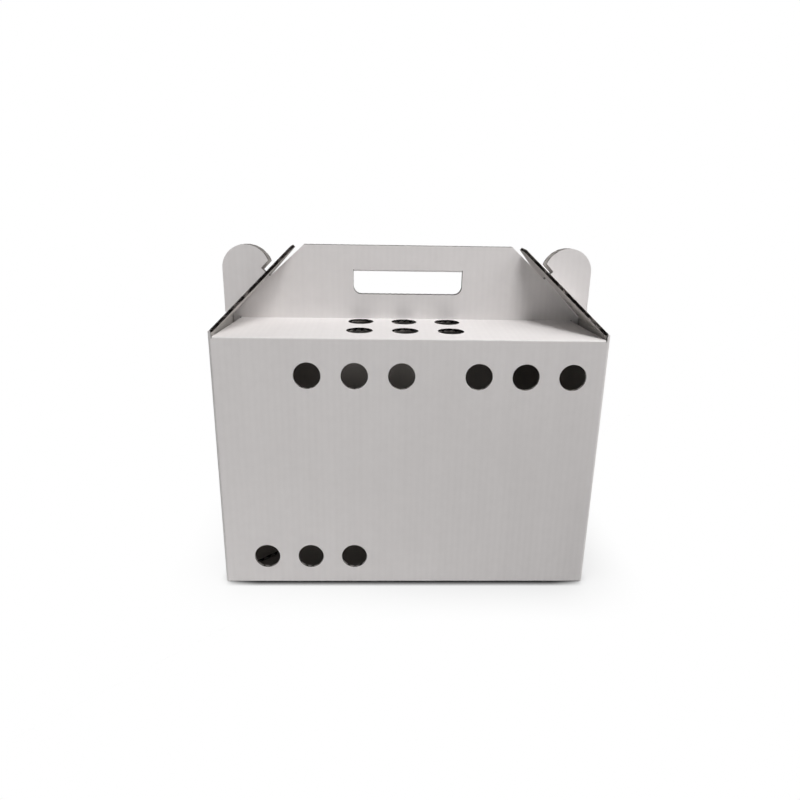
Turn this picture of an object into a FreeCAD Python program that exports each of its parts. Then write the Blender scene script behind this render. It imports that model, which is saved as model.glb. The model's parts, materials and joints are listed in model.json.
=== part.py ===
"""A folded corrugated-board pet carrier with a vented body, a double handle and hooked end flaps.

The frame has +X along the width, +Y from the front wall to the back wall and +Z up. The origin is on the
floor under the middle of the body. Every panel is flat board drawn in its own plane: its sketch has X along
the fold and Y away from it, and the board is padded evenly to both sides of that plane. Where two panels
fold, the carrying panel ends in a round bead on the fold's axis and the carried panel starts clear of it.
"""

import FreeCAD, Part
import math
import os
import re

import Sketcher
from FreeCAD import Placement, Rotation, Vector

# Driving sizes in millimetres, angles in degrees, and shares of the width from its nearer end
SIZES = {
    # board and fits
    "board": 3.2,
    "fold_gap": 0.3,
    # body
    "width": 380,
    "depth": 197,
    "height": 265,
    "glue_tab_width": 35,
    "glue_tab_end_gap": 25,
    "glue_tab_bevel": 15,
    # air vents
    "vent_diameter": 26.3,
    "vent_pitch": 45.4,
    "upper_vent_drop": 37,
    "lower_vent_rise": 31,
    "upper_left_vent_share": 0.36,
    "upper_right_vent_share": 0.205,
    "lower_vent_share": 0.238,
    "roof_vent_shift": 4,
    "roof_vent_front_gap": 33.2,
    "roof_vent_rear_gap": 17.6,
    # roof panels
    "roof_side_gap": 4,
    "roof_taper": 8.5,
    # handle panels, hand hole and grip flaps
    "handle_height": 77,
    "handle_knee": 40,
    "slope_gap": 1.6,
    "slope_top_gap": 5.1,
    "hole_width": 115.4,
    "hole_sill": 26.2,
    "hole_corner": 8.5,
    "grip_fold_height": 52,
    "grip_nest": 3.5,
    "grip_edge_gap": 0.8,
    "grip_droop": 6,
    # end lock flaps and the ears that hook over them
    "flap_rise": 5,
    "flap_lean": 46.4,
    "flap_length": 98,
    "flap_tip": 24,
    "flap_side_gap": 0.5,
    "slot_end": 60,
    "slot_side_gap": 1.6,
    "neck_gap": 1,
    "front_hook_gap": 7.3,
    "back_hook_gap": 4.5,
    "ear_height": 76.3,
    "front_ear_radius": 24.8,
    "back_ear_radius": 26.3,
    "ear_outset": 4.5,
    "ear_foot_gap": 0.6,
    "ear_wall_gap": 0.8,
    "ear_root": 10,
    # bottom flaps and their lock
    "bottom_side_gap": 2,
    "bottom_side_length": 100,
    "bottom_back_length": 95,
    "notch_arm": 19.8,
    "notch_depth": 35,
    "tongue_side_gap": 5,
    "tongue_end_gap": 3.8,
    "tongue_run": 11,
    "tongue_lap": 29,
}
VENTS_PER_ROW = 3

# Places that several panels share, as formulas of the sizes
FOLD_START = "(board / 2 + fold_gap)"
LAYER = "(board + fold_gap)"
END_AXIS = "(width / 2 - board / 2)"
SIDE_AXIS = "(depth / 2 - board / 2)"
TOP_AXIS = "(height - board / 2)"
FLAP_AXIS = f"({TOP_AXIS} + flap_rise)"
LEAF_AXIS = f"({LAYER} / 2)"
ROOF_REACH = f"({SIDE_AXIS} - {LEAF_AXIS})"
ROOF_HALF_FRONT = "(width / 2 - roof_side_gap)"
ROOF_HALF_REAR = f"({ROOF_HALF_FRONT} - roof_taper)"
HANDLE_TOP = "(handle_height + board / 2)"
HOLE_SILL = "(hole_sill + board / 2)"
GRIP_FOLD = {
    "front": "(grip_fold_height + board / 2)",
    "back": "(grip_fold_height + board / 2 + grip_nest)",
}
SLOPE_OFFSET = "(board / 2 + slope_gap)"
SLOPE_TOP_OFFSET = "(board / 2 + slope_top_gap)"
NECK_END = "(slot_end - neck_gap)"

# The bottom's notch lies in the back flap, and the front flap ends where its tongue can rise into it
BACK_FLAP_HALF = "(width / 2 - board - bottom_side_gap)"
BACK_FLAP_HALF_TIP = f"({BACK_FLAP_HALF} - bottom_back_length)"
NOTCH_HALF = f"({BACK_FLAP_HALF_TIP} - notch_arm)"
NOTCH_FLOOR = "(bottom_back_length - notch_depth)"
FRONT_FLAP_LENGTH = f"(2 * {SIDE_AXIS} - {NOTCH_FLOOR} - tongue_end_gap - tongue_run)"

# Height of each bottom flap's fold, from the outermost flap to the innermost
BOTTOM_AXIS = {
    "front": "(board / 2)",
    "side": f"(board / 2 + {LAYER})",
    "back": f"(board / 2 + 2 * {LAYER})",
}

# The sides in order round the body, a quarter turn apart: the front faces -Y
SIDES = ("front", "right", "back", "left")
X_AXIS = Vector(1, 0, 0)
Y_AXIS = Vector(0, 1, 0)
Z_AXIS = Vector(0, 0, 1)

document = FreeCAD.newDocument("pet_carrier")
sheet = document.addObject("Spreadsheet::Sheet", "Sizes")


def fill_sheet():
    """Writes one row per driving size: its name, its value, and the name again as an alias."""
    for row, (name, value) in enumerate(SIZES.items(), start=1):
        sheet.set(f"A{row}", name)
        sheet.set(f"B{row}", str(value))
        sheet.setAlias(f"B{row}", name)
    document.recompute()


def bound(formula):
    """Points each size in a formula at its cell."""
    return re.sub(
        r"[a-z_]+", lambda word: f"Sizes.{word[0]}" if word[0] in SIZES else word[0], formula
    )


def value(formula):
    """The number that a formula gives with the present sizes."""
    return float(sheet.evalExpression(bound(formula)))


def new_body(label):
    body = document.addObject("PartDesign::Body", label)
    body.Label = label
    return body


def place(body, base, turn, angle=None):
    """Puts a body at base, three formulas, with a fixed turn whose angle may be a formula."""
    body.Placement = Placement(Vector(*[value(part) for part in base]), turn)
    for axis, formula in zip("xyz", base):
        body.setExpression(f"Placement.Base.{axis}", bound(formula))
    if angle:
        body.setExpression("Placement.Rotation.Angle", bound(angle))


def level(side):
    """The turn of a panel that lies level from a fold along this side, reaching inward."""
    return Rotation(Z_AXIS, 90 * SIDES.index(side))


def upright(side):
    """The turn of a panel that stands on a fold along this side, with its outer face outward."""
    return level(side) * Rotation(X_AXIS, 90)


def at_side(side, distance, height):
    """The base of a panel whose fold runs along this side, at a distance from the middle."""
    outward = level(side) * -Y_AXIS
    return f"{round(outward.x)} * {distance}", f"{round(outward.y)} * {distance}", height


def new_sketch(body, role, name):
    plane = next(feature for feature in body.Origin.OriginFeatures if feature.Role == role)
    sketch = body.newObject("Sketcher::SketchObject", name)
    sketch.AttachmentSupport = [(plane, "")]
    sketch.MapMode = "FlatFace"
    return sketch


def constrain(sketch, formula, kind, *points):
    """Adds a dimension that a formula drives."""
    index = sketch.addConstraint(Sketcher.Constraint(kind, *points, value(formula)))
    sketch.setExpression(f"Constraints[{index}]", bound(formula))


def arc_between(start, end, radius, bulge):
    """A minor arc from start to end that bulges to the left (1) or right (-1) of that direction.

    Returns the curve and the numbers of its ends at start and at end.
    """
    chord = end - start
    left = Vector(-chord.y, chord.x, 0).normalize()
    drop = math.sqrt(radius**2 - (chord.Length / 2) ** 2)
    centre = (start + end) / 2 - left * (bulge * drop)
    ends = [math.atan2(point.y - centre.y, point.x - centre.x) for point in (start, end)]
    circle = Part.Circle(centre, Z_AXIS, radius)
    if bulge < 0:
        return Part.ArcOfCircle(circle, ends[0], ends[1]), (1, 2)
    return Part.ArcOfCircle(circle, ends[1], ends[0]), (2, 1)


def draw_loop(sketch, corners):
    """Draws a closed outline. Each corner is (x, y) or (x, y, radius, bulge): an arc leaves that one."""
    spots = [Vector(value(corner[0]), value(corner[1]), 0) for corner in corners]
    drawn = []
    for index, corner in enumerate(corners):
        start, end = spots[index], spots[(index + 1) % len(spots)]
        if len(corner) == 2:
            curve, ends = Part.LineSegment(start, end), (1, 2)
        else:
            curve, ends = arc_between(start, end, value(corner[2]), corner[3])
        drawn.append((sketch.addGeometry(curve), ends))
    for index, (curve, ends) in enumerate(drawn):
        following, following_ends = drawn[(index + 1) % len(drawn)]
        sketch.addConstraint(
            Sketcher.Constraint("Coincident", curve, ends[1], following, following_ends[0])
        )
    for corner, (curve, ends) in zip(corners, drawn):
        constrain(sketch, corner[0], "DistanceX", -1, 1, curve, ends[0])
        constrain(sketch, corner[1], "DistanceY", -1, 1, curve, ends[0])
        if len(corner) > 2:
            constrain(sketch, corner[2], "Radius", curve)


def draw_circle(sketch, x, y, diameter):
    centre = Vector(value(x), value(y), 0)
    circle = sketch.addGeometry(Part.Circle(centre, Z_AXIS, value(diameter) / 2))
    constrain(sketch, diameter, "Diameter", circle)
    constrain(sketch, x, "DistanceX", -1, 1, circle, 3)
    constrain(sketch, y, "DistanceY", -1, 1, circle, 3)


def pad(body, sketch, length):
    """Pads a sketch evenly to both sides of its plane."""
    feature = body.newObject("PartDesign::Pad", f"{sketch.Name}_pad")
    feature.Profile = sketch
    feature.SideType = "Symmetric"
    feature.setExpression("Length", bound(length))
    document.recompute()


def cut_through(body, sketch):
    """Cuts a sketch through the whole board, and checks that the cut took something away."""
    before = body.Shape.Volume
    feature = body.newObject("PartDesign::Pocket", f"{sketch.Name}_cut")
    feature.Profile = sketch
    feature.SideType = "Symmetric"
    feature.Type = "ThroughAll"
    document.recompute()
    if not body.Shape.Volume < before:
        raise RuntimeError(f"{feature.Name} cuts nothing")


def panel(label, *loops):
    """A flat piece of board with the given outline, and holes if there are more loops."""
    body = new_body(label)
    sketch = new_sketch(body, "XY_Plane", f"{label}_outline")
    for loop in loops:
        draw_loop(sketch, loop)
    pad(body, sketch, "board")
    return body


def add_beads(body, heights, length):
    """Adds the round fold beads that run along X at the given heights of a panel."""
    sketch = new_sketch(body, "YZ_Plane", f"{body.Label}_beads")
    for height in heights:
        draw_circle(sketch, height, "0", "board")
    pad(body, sketch, length)


def cut_vents(body, name, centre, height):
    """Cuts one row of round air vents along X."""
    sketch = new_sketch(body, "XY_Plane", f"{body.Label}_{name}_vents")
    for index in range(VENTS_PER_ROW):
        steps = index - (VENTS_PER_ROW - 1) / 2
        draw_circle(sketch, f"({centre}) + {steps} * vent_pitch", height, "vent_diameter")
    cut_through(body, sketch)


def flipped(corners):
    """The mirror images of the corners in X."""
    return [(f"-{corner[0]}", *corner[1:3], *[-bulge for bulge in corner[3:]]) for corner in corners]


def both_halves(corners):
    """A whole outline from the corners of its right half."""
    return [*corners, *reversed(flipped(corners))]


def in_flap_frame(along, above):
    """A point of a handle panel, from its distance along a closed right flap and above its middle."""
    x = f"({END_AXIS} - ({along}) * cos(flap_lean) + ({above}) * sin(flap_lean))"
    y = f"(flap_rise + ({along}) * sin(flap_lean) + ({above}) * cos(flap_lean))"
    return x, y


def wall(side, half_length, floor_axis, top_axis):
    """One wall of the body, with a bead for the panel above it and one for the flap below."""
    body = panel(
        f"{side}_wall",
        [
            (f"-{half_length}", floor_axis),
            (half_length, floor_axis),
            (half_length, top_axis),
            (f"-{half_length}", top_axis),
        ],
    )
    add_beads(body, [floor_axis, top_axis], f"2 * {half_length}")
    return body


def long_wall(side):
    """The front or back wall with a row of vents near its foot: the front has two more near its top."""
    body = wall(side, "(width / 2)", BOTTOM_AXIS[side], TOP_AXIS)
    cut_vents(body, "lower", "(lower_vent_share - 0.5) * width", "lower_vent_rise")
    if side == "front":
        upper = "height - upper_vent_drop"
        cut_vents(body, "upper_left", "(upper_left_vent_share - 0.5) * width", upper)
        cut_vents(body, "upper_right", "(0.5 - upper_right_vent_share) * width", upper)
    place(body, at_side(side, SIDE_AXIS, "0"), upright(side))
    return body


def end_wall(side):
    """The left or right wall, fitted between the long walls: its fold is higher, and it has three vents."""
    body = wall(side, "(depth / 2 - board)", BOTTOM_AXIS["side"], FLAP_AXIS)
    cut_vents(body, "upper", "0", "height - upper_vent_drop")
    place(body, at_side(side, END_AXIS, "0"), upright(side))
    return body


def glue_tab():
    """The tab of the left wall that is glued to the back wall's inner face."""
    inner = "(board - width / 2)"
    edge = f"({inner} + glue_tab_width)"
    body = panel(
        "glue_tab",
        [
            (inner, "glue_tab_end_gap"),
            (edge, "glue_tab_end_gap + glue_tab_bevel"),
            (edge, "height - glue_tab_end_gap - glue_tab_bevel"),
            (inner, "height - glue_tab_end_gap"),
        ],
    )
    place(body, ("0", "depth / 2 - 1.5 * board", "0"), upright("front"))
    return body


def roof_panel(side):
    """A level roof panel: it narrows from the wall's fold to the handle's fold, which has a bead."""
    body = panel(
        f"{side}_roof_panel",
        [
            (f"-{ROOF_HALF_FRONT}", FOLD_START),
            (ROOF_HALF_FRONT, FOLD_START),
            (ROOF_HALF_REAR, ROOF_REACH),
            (f"-{ROOF_HALF_REAR}", ROOF_REACH),
        ],
    )
    add_beads(body, [ROOF_REACH], f"2 * {ROOF_HALF_REAR}")
    cut_vents(body, "near", "-roof_vent_shift", "roof_vent_front_gap")
    cut_vents(body, "far", "-roof_vent_shift", f"{ROOF_REACH} - roof_vent_rear_gap")
    place(body, at_side(side, SIDE_AXIS, TOP_AXIS), level(side))
    return body


def handle_panel(side):
    """A handle panel whose ends slope along the closed flaps, and the hand hole with its fold bead."""
    slope_top = f"({HANDLE_TOP} - flap_rise + {SLOPE_TOP_OFFSET} * cos(flap_lean)) / sin(flap_lean)"
    top_x = in_flap_frame(slope_top, f"-{SLOPE_TOP_OFFSET}")[0]
    knee = in_flap_frame("handle_knee", f"-{SLOPE_OFFSET}")
    neck = in_flap_frame(NECK_END, f"-{SLOPE_OFFSET}")
    outline = both_halves([(ROOF_HALF_REAR, FOLD_START), knee, neck, (top_x, HANDLE_TOP)])
    half_hole = "(hole_width / 2)"
    fold = GRIP_FOLD[side]
    low = f"({HOLE_SILL} + hole_corner)"
    inner = f"({half_hole} - hole_corner)"
    hole = [
        (half_hole, fold),
        (f"-{half_hole}", fold),
        (f"-{half_hole}", low, "hole_corner", -1),
        (f"-{inner}", HOLE_SILL),
        (inner, HOLE_SILL, "hole_corner", -1),
        (half_hole, low),
    ]
    body = panel(f"{side}_handle_panel", outline, hole)
    add_beads(body, [fold], "hole_width")
    place(body, at_side(side, LEAF_AXIS, TOP_AXIS), upright(side))
    return body


def ear(side, end):
    """A rounded ear of a handle panel: it passes over the wall, through the flap's slot and over its bar.

    Its root hangs beside the roof panel, in the wedge that the panel's taper leaves free.
    """
    radius = f"{side}_ear_radius"
    outer = "(width / 2 + ear_outset)"
    hook = f"(board / 2 + {side}_hook_gap)"
    foot = "(flap_rise + ear_foot_gap + board / 2)"
    inner_wall = "(width / 2 - board - ear_wall_gap)"
    root = f"({ROOF_HALF_REAR} + roof_taper * ear_root / {ROOF_REACH} + ear_wall_gap)"
    centre_y = f"(ear_height + board / 2 - {radius})"
    inset = f"({END_AXIS} - {outer} + {radius})"
    rise = f"({centre_y} - flap_rise)"
    centre_along = f"({inset} * cos(flap_lean) + {rise} * sin(flap_lean))"
    centre_above = f"({rise} * cos(flap_lean) - {inset} * sin(flap_lean))"
    nose = f"({centre_along} + sqrt({radius} ^ 2 - ({centre_above} - {hook}) ^ 2))"
    corners = [
        in_flap_frame(NECK_END, f"-{SLOPE_OFFSET}"),
        in_flap_frame(NECK_END, hook),
        (*in_flap_frame(nose, hook), radius, 1),
        (outer, centre_y),
        (outer, foot),
        (inner_wall, foot),
        (inner_wall, "-ear_root"),
        (root, "-ear_root"),
        (root, FOLD_START),
        (ROOF_HALF_REAR, FOLD_START),
        in_flap_frame("handle_knee", f"-{SLOPE_OFFSET}"),
    ]
    on_right = (side == "front") == (end == "right")
    body = panel(f"{side}_{end}_ear", corners if on_right else flipped(corners))
    place(body, at_side(side, LEAF_AXIS, TOP_AXIS), upright(side))
    return body


def grip_flap(side):
    """The flap cut from a hand hole, folded back through it."""
    half = "(hole_width / 2 - grip_edge_gap)"
    length = f"({GRIP_FOLD[side]} - {HOLE_SILL} - grip_edge_gap)"
    straight = f"({length} - hole_corner)"
    inner = f"({half} - hole_corner)"
    body = panel(
        f"{side}_grip_flap",
        [
            (f"-{half}", FOLD_START),
            (half, FOLD_START),
            (half, straight, "hole_corner", -1),
            (inner, length),
            (f"-{inner}", length, "hole_corner", -1),
            (f"-{half}", straight),
        ],
    )
    base = at_side(side, LEAF_AXIS, f"{TOP_AXIS} + {GRIP_FOLD[side]}")
    place(body, base, Rotation(X_AXIS, -SIZES["grip_droop"]), "-grip_droop")
    return body


def lock_flap(end):
    """An end flap that leans in over the roof, with the slot that the ears pass through.

    Its sketch has X from the fold to the tip, and Y along the fold.
    """
    half_fold = "(depth / 2 - board - flap_side_gap)"
    half_tip = "(flap_tip / 2)"
    half_slot = f"({LAYER} / 2 + board / 2 + slot_side_gap)"
    body = panel(
        f"{end}_lock_flap",
        [
            (FOLD_START, f"-{half_fold}"),
            ("flap_length", f"-{half_tip}"),
            ("flap_length", half_tip),
            (FOLD_START, half_fold),
            (FOLD_START, half_slot),
            ("slot_end", half_slot),
            ("slot_end", f"-{half_slot}"),
            (FOLD_START, f"-{half_slot}"),
        ],
    )
    turn = {"left": "-flap_lean", "right": "180 + flap_lean"}[end]
    place(body, at_side(end, END_AXIS, FLAP_AXIS), Rotation(Y_AXIS, value(turn)), turn)
    return body


def bottom_front_flap():
    """The outermost bottom flap, which the carrier stands on."""
    half = "(width / 2 - bottom_side_gap)"
    body = panel(
        "bottom_front_flap",
        [
            (f"-{half}", FOLD_START),
            (half, FOLD_START),
            (half, FRONT_FLAP_LENGTH),
            (f"-{half}", FRONT_FLAP_LENGTH),
        ],
    )
    place(body, at_side("front", SIDE_AXIS, BOTTOM_AXIS["front"]), level("front"))
    return body


def bottom_side_flap(end):
    """A side bottom flap of the middle layer, mitred so that the front flap swings down ahead of it."""
    half = "(depth / 2 - board - bottom_side_gap)"
    corners = [
        (f"-{half}", FOLD_START),
        (half, FOLD_START),
        (half, "bottom_side_length"),
        (f"(bottom_side_length - {half})", "bottom_side_length"),
    ]
    body = panel(f"bottom_{end}_flap", corners if end == "right" else flipped(corners))
    place(body, at_side(end, END_AXIS, BOTTOM_AXIS["side"]), level(end))
    return body


def bottom_back_flap():
    """The innermost bottom flap, with mitred ends and a notch that the tongue comes up through."""
    body = panel(
        "bottom_back_flap",
        both_halves(
            [
                (BACK_FLAP_HALF, FOLD_START),
                (BACK_FLAP_HALF_TIP, "bottom_back_length"),
                (NOTCH_HALF, "bottom_back_length"),
                (NOTCH_HALF, NOTCH_FLOOR),
            ]
        ),
    )
    place(body, at_side("back", SIDE_AXIS, BOTTOM_AXIS["back"]), level("back"))
    return body


def bottom_tongue():
    """The tongue of the front flap: it rises through the notch and lies on the back flap."""
    body = new_body("bottom_tongue")
    sketch = new_sketch(body, "YZ_Plane", "bottom_tongue_profile")
    rise = f"(3 * {LAYER})"
    reach = "(tongue_run + tongue_lap)"
    edge = FRONT_FLAP_LENGTH
    half_board = "(board / 2)"
    draw_loop(
        sketch,
        [
            (edge, f"-{half_board}"),
            (f"{edge} + tongue_run", f"{rise} - {half_board}"),
            (f"{edge} + {reach}", f"{rise} - {half_board}"),
            (f"{edge} + {reach}", f"{rise} + {half_board}"),
            (f"{edge} + tongue_run", f"{rise} + {half_board}"),
            (edge, half_board),
        ],
    )
    pad(body, sketch, f"2 * ({NOTCH_HALF} - tongue_side_gap)")
    place(body, at_side("front", SIDE_AXIS, BOTTOM_AXIS["front"]), level("front"))
    return body


def build():
    """Makes every piece and returns the bodies."""
    bodies = [long_wall("front"), long_wall("back"), end_wall("left"), end_wall("right"), glue_tab()]
    for side in ("front", "back"):
        bodies += [roof_panel(side), handle_panel(side), grip_flap(side)]
        bodies += [ear(side, end) for end in ("left", "right")]
    for end in ("left", "right"):
        bodies += [lock_flap(end), bottom_side_flap(end)]
    bodies += [bottom_front_flap(), bottom_tongue(), bottom_back_flap()]
    return bodies


def check(bodies):
    """Stops unless every object came out sound."""
    for item in document.Objects:
        if {"Invalid", "Error"} & set(item.State):
            raise RuntimeError(f"{item.Label} failed: {item.State}")
    for body in bodies:
        if body.Shape.isNull() or not body.Shape.isValid() or len(body.Shape.Solids) != 1:
            raise RuntimeError(f"{body.Label} is not one sound solid")


def export(bodies):
    os.makedirs("parts", exist_ok=True)
    for body in bodies:
        body.Shape.exportStep(os.path.join("parts", f"{body.Label}.step"))


fill_sheet()
pieces = build()
document.recompute()
check(pieces)
export(pieces)
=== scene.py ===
"""Looks of the corrugated-board pet carrier: layered fluted board, folds, materials, light and camera."""

import json
import math

import bmesh
import bpy
from mathutils import Matrix, Quaternion, Vector

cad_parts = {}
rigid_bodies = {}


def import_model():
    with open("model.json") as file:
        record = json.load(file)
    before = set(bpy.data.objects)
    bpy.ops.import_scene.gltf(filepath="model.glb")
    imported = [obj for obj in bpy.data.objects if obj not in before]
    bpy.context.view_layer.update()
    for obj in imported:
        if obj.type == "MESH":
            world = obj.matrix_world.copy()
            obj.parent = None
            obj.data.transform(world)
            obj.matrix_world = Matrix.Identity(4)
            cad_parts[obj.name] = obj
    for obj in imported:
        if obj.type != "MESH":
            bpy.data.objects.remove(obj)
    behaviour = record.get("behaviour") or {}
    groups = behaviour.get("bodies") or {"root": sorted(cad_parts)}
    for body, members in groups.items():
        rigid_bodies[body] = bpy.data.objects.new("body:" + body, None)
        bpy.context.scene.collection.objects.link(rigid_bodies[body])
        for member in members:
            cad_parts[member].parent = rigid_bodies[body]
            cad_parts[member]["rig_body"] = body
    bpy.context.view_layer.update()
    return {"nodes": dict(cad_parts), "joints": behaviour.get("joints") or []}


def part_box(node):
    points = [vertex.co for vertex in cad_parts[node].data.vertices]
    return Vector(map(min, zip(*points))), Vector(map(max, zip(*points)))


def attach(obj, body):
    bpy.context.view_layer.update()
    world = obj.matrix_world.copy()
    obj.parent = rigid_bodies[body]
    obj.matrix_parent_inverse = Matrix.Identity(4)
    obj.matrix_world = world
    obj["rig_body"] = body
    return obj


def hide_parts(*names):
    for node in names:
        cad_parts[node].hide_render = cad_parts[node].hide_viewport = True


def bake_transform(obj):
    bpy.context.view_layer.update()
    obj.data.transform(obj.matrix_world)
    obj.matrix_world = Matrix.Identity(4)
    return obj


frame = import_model()

# Sizes in metres
BOARD = 0.0032
LINER = 0.00035
MEDIUM = 0.00024
FLUTE_PITCH = 0.00635
FOLD_START = 0.0019
OVERSHOOT = 0.005
FLOOR_SIZE = 30

# Steps along one flute and round one fold
FLUTE_STEPS = 10
ARC_STEPS = 14

# Tolerances in metres, and limits for the cosine between two directions
SAME_POINT = 1e-6
SAME_PLANE = 1e-5
SAME_EDGE = 2e-5
SAME_WAY = 0.999
LINER_FACE = 0.5
TONGUE_FACE = 0.3
SHARP_ANGLE = math.radians(30)

# Directions of the leaning end flaps and the drooping grip flaps
LEAN = math.radians(46.4)
DROOP = math.radians(6)
RIGHT, LEFT = Vector((1, 0, 0)), Vector((-1, 0, 0))
BACK, FRONT = Vector((0, 1, 0)), Vector((0, -1, 0))
UP, DOWN = Vector((0, 0, 1)), Vector((0, 0, -1))
LEFT_FLAP_RUN = Vector((math.cos(LEAN), 0, math.sin(LEAN)))
LEFT_FLAP_OUT = Vector((-math.sin(LEAN), 0, math.cos(LEAN)))
RIGHT_FLAP_RUN = Vector((-math.cos(LEAN), 0, math.sin(LEAN)))
RIGHT_FLAP_OUT = Vector((math.sin(LEAN), 0, math.cos(LEAN)))
GRIP_RUN = Vector((0, math.cos(DROOP), -math.sin(DROOP)))
GRIP_OUT = Vector((0, math.sin(DROOP), math.cos(DROOP)))

# Each flat node: the way its flutes run from its fold, and the way its printed side looks
PANELS = {
    "front_wall": (UP, FRONT),
    "back_wall": (UP, BACK),
    "left_wall": (UP, LEFT),
    "right_wall": (UP, RIGHT),
    "glue_tab": (UP, BACK),
    "front_roof_panel": (BACK, UP),
    "back_roof_panel": (FRONT, UP),
    "front_handle_panel": (UP, FRONT),
    "front_left_ear": (UP, FRONT),
    "front_right_ear": (UP, FRONT),
    "back_handle_panel": (UP, BACK),
    "back_left_ear": (UP, BACK),
    "back_right_ear": (UP, BACK),
    "left_lock_flap": (LEFT_FLAP_RUN, LEFT_FLAP_OUT),
    "right_lock_flap": (RIGHT_FLAP_RUN, RIGHT_FLAP_OUT),
    "front_grip_flap": (GRIP_RUN, -GRIP_OUT),
    "back_grip_flap": (GRIP_RUN, GRIP_OUT),
    "bottom_front_flap": (BACK, DOWN),
    "bottom_left_flap": (RIGHT, DOWN),
    "bottom_right_flap": (LEFT, DOWN),
    "bottom_back_flap": (FRONT, DOWN),
}

# Each joint: the panel that carries the fold and the panel that turns on it
FOLDS = {
    "front_roof_fold": ("front_wall", "front_roof_panel"),
    "back_roof_fold": ("back_wall", "back_roof_panel"),
    "front_handle_fold": ("front_roof_panel", "front_handle_panel"),
    "back_handle_fold": ("back_roof_panel", "back_handle_panel"),
    "left_flap_fold": ("left_wall", "left_lock_flap"),
    "right_flap_fold": ("right_wall", "right_lock_flap"),
    "front_grip_fold": ("front_handle_panel", "front_grip_flap"),
    "back_grip_fold": ("back_handle_panel", "back_grip_flap"),
    "bottom_front_fold": ("front_wall", "bottom_front_flap"),
    "bottom_left_fold": ("left_wall", "bottom_left_flap"),
    "bottom_right_fold": ("right_wall", "bottom_right_flap"),
    "bottom_back_fold": ("back_wall", "bottom_back_flap"),
}

# Paper: noise scales per metre, gloss, roughness and bump
CLOUD_SCALE = 9.0
MOTTLE_SCALE = 110.0
GRAIN_SCALE = 1600.0
FIBRE_STRETCH = (900, 25, 1)
BAND_STRETCH = (60, 2.5, 1)
PAPER_GLOSS = 0.35
MOTTLE_LEVELS = (0.3, 0.7)
ROUGHNESS_SPREAD = 0.06
GRAIN_HEIGHT = 0.03
BUMP_STRENGTH = 0.5
BUMP_DISTANCE = 0.0003

# Cut edges, painted dark for the shade inside the flutes and paler where flute ends catch the light: noise
# scales per metre, the levels between which they turn pale, and gloss and roughness
LIT_END_SCALE = 130.0
LIT_END_LEVELS = (0.47, 0.71)
FUZZ_SCALE = 2200.0
EDGE_GLOSS = 0.1
EDGE_ROUGHNESS = (0.95, 0.8)


# Materials
class Shader:
    """A node material under construction."""

    def __init__(self, name):
        self.material = bpy.data.materials.new(name)
        self.material.use_nodes = True
        self.tree = self.material.node_tree
        self.surface = self.tree.nodes["Principled BSDF"]

    def add(self, kind, inputs=(), **settings):
        """Adds a node; inputs are (socket, value or the socket that feeds it)."""
        made = self.tree.nodes.new(kind)
        for name, setting in settings.items():
            setattr(made, name, setting)
        for socket, source in inputs:
            self.feed(made.inputs[socket], source)
        return made

    def feed(self, socket, source):
        if isinstance(source, bpy.types.NodeSocket):
            self.tree.links.new(source, socket)
        else:
            socket.default_value = source

    def math(self, operation, first, second=0.0):
        return self.add("ShaderNodeMath", [(0, first), (1, second)], operation=operation).outputs[0]

    def noise(self, vector, scale, detail):
        inputs = [("Vector", vector), ("Scale", scale), ("Detail", detail)]
        return self.add("ShaderNodeTexNoise", inputs).outputs["Fac"]

    def remap(self, value, low, high, new_low, new_high):
        inputs = [(0, value), (1, low), (2, high), (3, new_low), (4, new_high)]
        return self.add("ShaderNodeMapRange", inputs).outputs[0]

    def blend(self, factor, low, high):
        """Mixes two colours: sockets 6 and 7 of the Mix node take them, and output 2 gives the result."""
        inputs = [(0, factor), (6, (*low, 1)), (7, (*high, 1))]
        return self.add("ShaderNodeMix", inputs, data_type="RGBA").outputs[2]


def paper(name, low, high, roughness, washboard):
    """Paper liner: soft clouding, fibres along the board, and the flutes showing faintly through it."""
    shader = Shader(name)
    spot = shader.add("ShaderNodeUVMap", uv_map="board").outputs["UV"]
    place = shader.add("ShaderNodeTexCoord").outputs["Object"]
    cloud = shader.noise(place, CLOUD_SCALE, 3.0)
    mottle = shader.noise(place, MOTTLE_SCALE, 4.0)
    stretched = shader.add("ShaderNodeMapping", [("Vector", spot), ("Scale", FIBRE_STRETCH)]).outputs[0]
    fibre = shader.noise(stretched, 1.0, 2.0)
    banded = shader.add("ShaderNodeMapping", [("Vector", spot), ("Scale", BAND_STRETCH)]).outputs[0]
    band = shader.noise(banded, 1.0, 3.0)
    across = shader.add("ShaderNodeSeparateXYZ", [(0, spot)]).outputs["X"]
    flute = shader.math("COSINE", shader.math("MULTIPLY", across, 2 * math.pi / FLUTE_PITCH))
    streak = shader.math("MULTIPLY", flute, cloud)
    shade = 0.0
    for layer, share in ((cloud, 0.3), (mottle, 0.3), (band, 0.3), (fibre, 0.1), (streak, 0.06)):
        shade = shader.math("ADD", shader.math("MULTIPLY", layer, share), shade)
    shader.feed(shader.surface.inputs["Base Color"], shader.blend(shade, low, high))
    spread = (roughness - ROUGHNESS_SPREAD, roughness + ROUGHNESS_SPREAD)
    uneven = shader.remap(mottle, *MOTTLE_LEVELS, *spread)
    shader.feed(shader.surface.inputs["Roughness"], uneven)
    shader.feed(shader.surface.inputs["Specular IOR Level"], PAPER_GLOSS)
    grain = shader.noise(place, GRAIN_SCALE, 2.0)
    ripple = shader.math("MULTIPLY", streak, washboard)
    height = shader.math("ADD", shader.math("MULTIPLY", grain, GRAIN_HEIGHT), ripple)
    inputs = [("Height", height), ("Strength", BUMP_STRENGTH), ("Distance", BUMP_DISTANCE)]
    bump = shader.add("ShaderNodeBump", inputs)
    shader.feed(shader.surface.inputs["Normal"], bump.outputs[0])
    return shader.material


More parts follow.
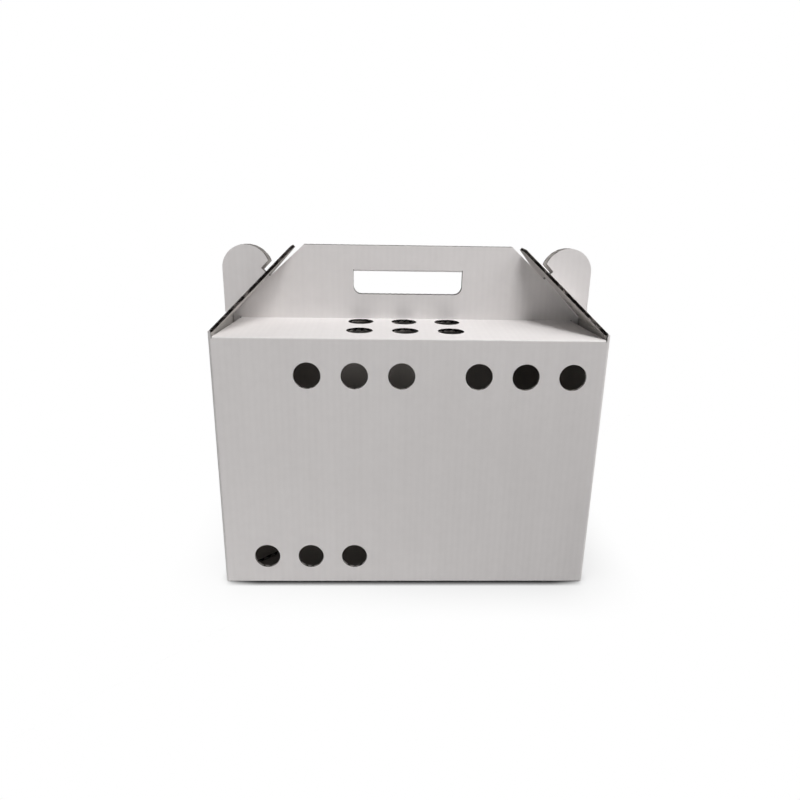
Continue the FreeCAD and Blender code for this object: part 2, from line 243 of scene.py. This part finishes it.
def shaded_cut_edge(name, low, high):
    """Fluted medium and cut edges: painted near-black for the shade inside the flutes, with paler stretches
    painted where flute ends catch the light.
    """
    shader = Shader(name)
    place = shader.add("ShaderNodeTexCoord").outputs["Object"]
    # Painted light and shade: pale where flute ends catch the light, near-black for the shade between them
    lit_flute_ends = shader.remap(shader.noise(place, LIT_END_SCALE, 3.0), *LIT_END_LEVELS, 0.0, 1.0)
    shader.feed(shader.surface.inputs["Base Color"], shader.blend(lit_flute_ends, low, high))
    shader.feed(shader.surface.inputs["Roughness"], shader.remap(lit_flute_ends, 0.0, 1.0, *EDGE_ROUGHNESS))
    shader.feed(shader.surface.inputs["Specular IOR Level"], EDGE_GLOSS)
    fuzz = shader.noise(place, FUZZ_SCALE, 2.0)
    bump = shader.add("ShaderNodeBump", [("Height", fuzz), ("Distance", BUMP_DISTANCE)])
    shader.feed(shader.surface.inputs["Normal"], bump.outputs[0])
    return shader.material


WHITE = paper("white_liner", (0.685, 0.665, 0.66), (0.85, 0.83, 0.825), 0.62, 0.10)
# The plain inner side is a neutral grey, set darker than the printed side partly as painted shade, so the
# inside seen through the vents stays dark
INNER = paper("shaded_inner_liner", (0.39, 0.37, 0.35), (0.55, 0.525, 0.50), 0.80, 0.14)
# The cut edges' near-black is painted shade of the flute hollows, and their paler patches are painted light
# on flute ends
CUT = shaded_cut_edge("shaded_cut_edge", (0.018, 0.015, 0.014), (0.32, 0.29, 0.27))

# The materials of a board, and the index of each on its mesh
BOARD_MATERIALS = [WHITE, INNER, CUT]
PRINTED, PLAIN, EDGE = range(3)


# Board
def body_of(node):
    return frame["nodes"][node]["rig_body"]


def add_mesh(name, shape, materials):
    """Turns a bmesh into a linked object that is smooth but for its sharp edges, and frees it."""
    mesh = bpy.data.meshes.new(name)
    shape.to_mesh(mesh)
    shape.free()
    for material in materials:
        mesh.materials.append(material)
    for polygon in mesh.polygons:
        polygon.use_smooth = True
    mesh.set_sharp_from_angle(angle=SHARP_ANGLE)
    piece = bpy.data.objects.new(name, mesh)
    bpy.context.scene.collection.objects.link(piece)
    return piece


def clean_copy(node):
    """A CAD node's mesh with its split corners joined."""
    shape = bmesh.new()
    shape.from_mesh(frame["nodes"][node].data)
    bmesh.ops.remove_doubles(shape, verts=shape.verts, dist=SAME_POINT)
    return shape


def flat_side(node, outward):
    """The flat side of a CAD node that looks along outward."""
    shape = clean_copy(node)
    shape.normal_update()
    top = max(vertex.co.dot(outward) for vertex in shape.verts)
    others = [
        face
        for face in shape.faces
        if face.normal.dot(outward) < SAME_WAY or face.calc_center_median().dot(outward) < top - SAME_PLANE
    ]
    bmesh.ops.delete(shape, geom=others, context="FACES")
    return shape


def keep_between(shape, direction, low, high):
    """Cuts away what lies outside two planes across a direction."""
    for limit, sign in ((low, -1), (high, 1)):
        geometry = [*shape.verts, *shape.edges, *shape.faces]
        bmesh.ops.bisect_plane(
            shape, geom=geometry, plane_co=direction * limit, plane_no=direction * sign, clear_outer=True
        )


def thicken(shape, step):
    """Turns a sheet into a closed layer that also reaches step away from it."""
    grown = bmesh.ops.extrude_face_region(shape, geom=shape.faces[:], use_keep_orig=True)["geom"]
    moved = [item for item in grown if isinstance(item, bmesh.types.BMVert)]
    bmesh.ops.translate(shape, vec=step, verts=moved)
    bmesh.ops.recalc_face_normals(shape, faces=shape.faces)


def wavy_sheet(across, run, outward, side, span, middle):
    """The fluted medium as a closed wavy sheet: side and span are its limits across and along the flutes."""
    swing = BOARD / 2 - LINER - MEDIUM / 2
    steps = round((side[1] - side[0]) / FLUTE_PITCH * FLUTE_STEPS)
    shape = bmesh.new()
    rows = []
    for index in range(steps + 1):
        place = side[0] + (side[1] - side[0]) * index / steps
        wave = middle + swing * math.cos(2 * math.pi * place / FLUTE_PITCH)
        row = []
        for face, end in ((1, 0), (1, 1), (-1, 1), (-1, 0)):
            height = wave + face * MEDIUM / 2
            row.append(shape.verts.new(across * place + run * span[end] + outward * height))
        rows.append(row)
    for row, following in zip(rows, rows[1:]):
        for corner in range(4):
            beside = (corner + 1) % 4
            shape.faces.new((row[corner], row[beside], following[beside], following[corner]))
    shape.faces.new(rows[0])
    shape.faces.new(rows[-1])
    bmesh.ops.recalc_face_normals(shape, faces=shape.faces)
    return shape


def trimmed(sheet, node):
    """What of a wavy sheet lies inside a CAD node, as a mesh."""
    piece = add_mesh("sheet", sheet, [])
    cutter = add_mesh("cutter", clean_copy(node), [])
    cut = piece.modifiers.new("trim", "BOOLEAN")
    cut.operation = "INTERSECT"
    cut.solver = "EXACT"
    cut.object = cutter
    graph = bpy.context.evaluated_depsgraph_get()
    mesh = bpy.data.meshes.new_from_object(piece.evaluated_get(graph))
    for spare in (piece, cutter):
        bpy.data.objects.remove(spare)
    return mesh


def mark_board(shape, across, run):
    """Lays the board's own coordinates on a shape: across the flutes and along them."""
    layer = shape.loops.layers.uv.new("board")
    for face in shape.faces:
        for loop in face.loops:
            loop[layer].uv = (loop.vert.co.dot(across), loop.vert.co.dot(run))


def reach(node, direction):
    """How far a CAD node's box reaches along a direction, at both ends."""
    low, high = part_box(node)
    corners = [Vector((x, y, z)) for x in (low.x, high.x) for y in (low.y, high.y) for z in (low.z, high.z)]
    distances = [corner.dot(direction) for corner in corners]
    return min(distances), max(distances)


def medium_span(node, run):
    """How far the medium runs: past the panel's cut ends, but only up to a fold that the panel carries."""
    low, high = reach(node, run)
    ends = [low - OVERSHOOT, high + OVERSHOOT]
    for joint in frame["joints"]:
        axis = Vector(joint["pos_m"]).dot(run)
        for index, end in enumerate((low, high)):
            if FOLDS[joint["name"]][0] == node and abs(axis - end) < BOARD:
                ends[index] = axis
    return ends


def board(node, run, outward):
    """A panel as real board: a printed liner, a fluted medium and an inner liner."""
    across = run.cross(outward)
    left, right = reach(node, across)
    joins_corners = node in ("front_wall", "back_wall")
    if joins_corners:
        left, right = left + BOARD, right - BOARD
    shape = bmesh.new()
    for index, direction in ((PRINTED, outward), (PLAIN, -outward)):
        layer = flat_side(node, direction)
        if joins_corners:
            keep_between(layer, across, left, right)
        thicken(layer, direction * -LINER)
        for face in layer.faces:
            face.material_index = index if abs(face.normal.dot(outward)) > LINER_FACE else EDGE
        mesh = bpy.data.meshes.new("layer")
        layer.to_mesh(mesh)
        layer.free()
        shape.from_mesh(mesh)
    middle = max(vertex.co.dot(outward) for vertex in shape.verts) - BOARD / 2
    beyond = 0.0 if joins_corners else OVERSHOOT
    side = (left - beyond, right + beyond)
    sheet = wavy_sheet(across, run, outward, side, medium_span(node, run), middle)
    count = len(shape.faces)
    shape.from_mesh(trimmed(sheet, node))
    shape.faces.ensure_lookup_table()
    for face in shape.faces[count:]:
        face.material_index = EDGE
    mark_board(shape, across, run)
    piece = add_mesh(f"{node}_board", shape, BOARD_MATERIALS)
    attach(piece, body_of(node))
    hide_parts(node)


for node, (run, outward) in PANELS.items():
    board(node, run, outward)


# Folds
def ribbon(name, path, thickness, axis, low, high, material):
    """A closed strip of liner: path holds (point, way out) pairs, and the strip runs along axis."""
    shape = bmesh.new()
    layer = shape.loops.layers.uv.new("board")
    rings = []
    length = 0.0
    for index, (point, outward) in enumerate(path):
        if index:
            length += (point - path[index - 1][0]).length
        ring = []
        for depth, end in ((0, low), (0, high), (thickness, high), (thickness, low)):
            ring.append((shape.verts.new(point - outward * depth + axis * end), (end, length)))
        rings.append(ring)
    faces = []
    for ring, following in zip(rings, rings[1:]):
        for corner in range(4):
            beside = (corner + 1) % 4
            faces.append((ring[corner], ring[beside], following[beside], following[corner]))
    faces += [rings[0], rings[-1]]
    for corners in faces:
        face = shape.faces.new([vertex for vertex, _ in corners])
        for loop, (_, spot) in zip(face.loops, corners):
            loop[layer].uv = spot
    bmesh.ops.recalc_face_normals(shape, faces=shape.faces)
    return add_mesh(name, shape, [material])


def bend_path(centre, radius, axis, start, end):
    """An arc round an axis from one way out to another."""
    sweep = math.atan2(axis.dot(start.cross(end)), start.dot(end))
    path = []
    for index in range(ARC_STEPS + 1):
        outward = Quaternion(axis, sweep * index / ARC_STEPS) @ start
        path.append((centre + outward * radius, outward))
    return path


def fold_spans(node, run, outward, axis, place):
    """Where a panel starts on its fold, as stretches along the axis."""
    shape = flat_side(node, outward)
    spans = []
    for edge in shape.edges:
        ends = [vertex.co - place for vertex in edge.verts]
        if edge.is_boundary and all(abs(end.dot(run) - FOLD_START) < SAME_EDGE for end in ends):
            spans.append(sorted(end.dot(axis) for end in ends))
    shape.free()
    return spans


def cover_fold(joint):
    """Bridges a fold on both sides of the board."""
    carrier, turner = FOLDS[joint["name"]]
    carrier_out = PANELS[carrier][1]
    run, turner_out = PANELS[turner]
    axis = Vector(joint["axis"])
    place = Vector(joint["pos_m"])
    sides = (("outer", 1, WHITE, "white_board"), ("inner", -1, INNER, "inner_board"))
    for side, sign, material, slot in sides:
        path = bend_path(place, BOARD / 2, axis, carrier_out * sign, turner_out * sign)
        last, outward = path[-1]
        path.append((last + run * FOLD_START, outward))
        for index, (low, high) in enumerate(fold_spans(turner, run, turner_out, axis, place)):
            name = f"{joint['name']}_{side}_{index}"
            strip = ribbon(name, path, LINER, axis, low, high, material)
            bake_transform(strip)


for joint in frame["joints"]:
    cover_fold(joint)

# The four upright folds between the walls
front_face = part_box("front_wall")[0].y
shell_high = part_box("right_wall")[1]
for x_side, x_name in ((LEFT, "left"), (RIGHT, "right")):
    for y_side, y_name in ((FRONT, "front"), (BACK, "back")):
        x = (shell_high.x - BOARD) * x_side.x
        y = (abs(front_face) - BOARD) * y_side.y
        path = bend_path(Vector((x, y, 0)), BOARD, UP, x_side, y_side)
        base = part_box(f"{y_name}_wall")[0].z
        strip = ribbon(f"{y_name}_{x_name}_corner", path, LINER, UP, base, shell_high.z, WHITE)
        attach(strip, "shell")

# The tongue keeps its CAD shape: printed below, plain above, and painted dark with shade at its cut edges
tongue = frame["nodes"]["bottom_tongue"].data
tongue.materials.clear()
for material in BOARD_MATERIALS:
    tongue.materials.append(material)
for polygon in tongue.polygons:
    if polygon.normal.z > TONGUE_FACE:
        polygon.material_index = PLAIN
    elif polygon.normal.z < -TONGUE_FACE:
        polygon.material_index = PRINTED
    else:
        polygon.material_index = EDGE


# Floor: its colours and roughness, and how far its shadows reach
FLOOR_DARK = (0.30, 0.30, 0.30)
FLOOR_PALE = (0.90, 0.90, 0.90)
FLOOR_ROUGHNESS = 0.9
FLOOR_NOISE_SCALE = 3.0
FLOOR_NOISE_SHARE = 0.1
SHADOW_REACH = 0.07
CONTACT_REACH = 0.009

# How the floor changes along the width: two places, and the values there
PALENESS = (-0.2, 0.25, 0.95, 0.0)
SHADOW_DEPTH = (-0.2, 0.2, 0.12, 0.34)
CONTACT_DEPTH = (0.155, 0.19, 5.0, 0.3)

# World: the strength that lights the carrier, and the one that is seen
WORLD_LIGHT = 0.12
WORLD_WHITE = 1.0

# Lamps: the way to each from the carrier, its distance, width, height and power
LIGHT_TARGET = Vector((0, 0, 0.2))
LIGHT_COLOUR = (1.0, 0.985, 0.98)
LIGHTS = {
    "key": ((0.265, -0.368, 0.892), 1.6, 0.7, 0.3, 17.3),
    "right_fill": ((0.8, -0.2, 0.57), 4.0, 2.2, 2.2, 62),
    "left_fill": ((-0.6, -1.0, 0.2), 3.0, 1.5, 1.5, 2.5),
    "back_fill": ((-0.6, 1.0, 0.35), 3.0, 2.0, 2.0, 30),
    "under_fill": ((0.2, -0.3, -1.0), 2.0, 1.0, 1.0, 18),
}

# Camera, as fitted to the photograph
CAMERA_PLACE = (-0.0267, -0.6965, 0.4028)
CAMERA_YAW = math.radians(1.689)
CAMERA_PITCH = math.radians(18.358)
CAMERA_ROLL = math.radians(0.969)
CAMERA_LENS = 29.25
CAMERA_SENSOR = 36


def add_area_light(name, direction, distance, width, height, power):
    """A soft light that looks at the carrier's middle, with its width along the carrier's width."""
    light = bpy.data.lights.new(name, "AREA")
    light.shape = "RECTANGLE"
    light.size = width
    light.size_y = height
    light.energy = power
    light.color = LIGHT_COLOUR
    lamp = bpy.data.objects.new(name, light)
    away = Vector(direction).normalized()
    across = (RIGHT - away * away.dot(RIGHT)).normalized()
    turn = Matrix((across, away.cross(across), away)).transposed().to_4x4()
    lamp.matrix_world = Matrix.Translation(LIGHT_TARGET + away * distance) @ turn
    bpy.context.scene.collection.objects.link(lamp)


def add_floor():
    """A pale floor: seen from above it is white, but for a soft shadow close to the carrier.

    From below it is clear, and it lets light up to the carrier's underside, so that this can be looked at.
    """
    shader = Shader("floor")
    place = shader.add("ShaderNodeTexCoord").outputs["Object"]
    axes = shader.add("ShaderNodeSeparateXYZ", [(0, place)]).outputs
    across = axes["X"]
    uneven = shader.math("MULTIPLY", shader.noise(place, FLOOR_NOISE_SCALE, 2.0), FLOOR_NOISE_SHARE)
    shade = shader.math("ADD", shader.remap(across, *PALENESS), uneven)
    colour = shader.blend(shade, FLOOR_DARK, FLOOR_PALE)
    shader.feed(shader.surface.inputs["Base Color"], colour)
    shader.feed(shader.surface.inputs["Roughness"], FLOOR_ROUGHNESS)
    openness = shader.add("ShaderNodeAmbientOcclusion", [("Distance", SHADOW_REACH)]).outputs["AO"]
    contact = shader.add("ShaderNodeAmbientOcclusion", [("Distance", CONTACT_REACH)]).outputs["AO"]
    depth = shader.remap(across, *SHADOW_DEPTH)
    contact_depth = shader.remap(shader.math("ABSOLUTE", across), *CONTACT_DEPTH)
    soft = shader.math("POWER", openness, depth)
    shadow = shader.math("MULTIPLY", soft, shader.math("POWER", contact, contact_depth))
    glow = shader.add("ShaderNodeEmission", [("Strength", shadow)])
    paths = shader.add("ShaderNodeLightPath").outputs
    seen = shader.math("MAXIMUM", paths["Is Camera Ray"], paths["Is Glossy Ray"])
    seen = shader.math("MAXIMUM", seen, paths["Is Transmission Ray"])
    lit = shader.surface.outputs[0]
    above = shader.add("ShaderNodeMixShader", [(0, seen), (1, lit), (2, glow.outputs[0])])
    covered = shader.math("SUBTRACT", 1.0, seen)
    for axis, half in (("X", shell_high.x - BOARD), ("Y", abs(front_face) - BOARD)):
        near = shader.math("LESS_THAN", shader.math("ABSOLUTE", axes[axis]), half)
        covered = shader.math("MULTIPLY", covered, near)
    from_below = shader.add("ShaderNodeNewGeometry").outputs["Backfacing"]
    clear = shader.math("MAXIMUM", covered, from_below)
    open_air = shader.add("ShaderNodeBsdfTransparent").outputs[0]
    whole = shader.add("ShaderNodeMixShader", [(0, clear), (1, above.outputs[0]), (2, open_air)])
    shader.feed(shader.tree.nodes["Material Output"].inputs["Surface"], whole.outputs[0])
    shape = bmesh.new()
    bmesh.ops.create_grid(shape, x_segments=1, y_segments=1, size=FLOOR_SIZE)
    floor = add_mesh("floor", shape, [shader.material])


def add_world():
    """White where it is seen, and a weak even light on the carrier."""
    world = bpy.data.worlds.new("studio")
    bpy.context.scene.world = world
    world.use_nodes = True
    tree = world.node_tree
    background = tree.nodes["Background"]
    paths = tree.nodes.new("ShaderNodeLightPath").outputs
    seen = paths["Is Camera Ray"]
    for kind in ("Is Glossy Ray", "Is Transmission Ray"):
        either = tree.nodes.new("ShaderNodeMath")
        either.operation = "MAXIMUM"
        tree.links.new(seen, either.inputs[0])
        tree.links.new(paths[kind], either.inputs[1])
        seen = either.outputs[0]
    strength = tree.nodes.new("ShaderNodeMapRange")
    tree.links.new(seen, strength.inputs["Value"])
    strength.inputs["To Min"].default_value = WORLD_LIGHT
    strength.inputs["To Max"].default_value = WORLD_WHITE
    tree.links.new(strength.outputs[0], background.inputs["Strength"])
    background.inputs["Color"].default_value = (1, 1, 1, 1)


def add_camera():
    """A camera where the photograph's one stood."""
    level = Vector((math.sin(CAMERA_YAW), math.cos(CAMERA_YAW), 0))
    forward = level * math.cos(CAMERA_PITCH) + DOWN * math.sin(CAMERA_PITCH)
    across = level.cross(UP)
    above = across.cross(forward)
    tilted_across = across * math.cos(CAMERA_ROLL) + above * math.sin(CAMERA_ROLL)
    tilted_above = above * math.cos(CAMERA_ROLL) - across * math.sin(CAMERA_ROLL)
    data = bpy.data.cameras.new("camera")
    data.sensor_width = CAMERA_SENSOR
    data.lens = CAMERA_LENS
    camera = bpy.data.objects.new("camera", data)
    turn = Matrix((tilted_across, tilted_above, -forward)).transposed().to_4x4()
    camera.matrix_world = Matrix.Translation(CAMERA_PLACE) @ turn
    bpy.context.scene.collection.objects.link(camera)
    bpy.context.scene.camera = camera


add_floor()
add_world()
add_camera()
for name, settings in LIGHTS.items():
    add_area_light(name, *settings)
bpy.context.scene.view_settings.view_transform = "Standard"
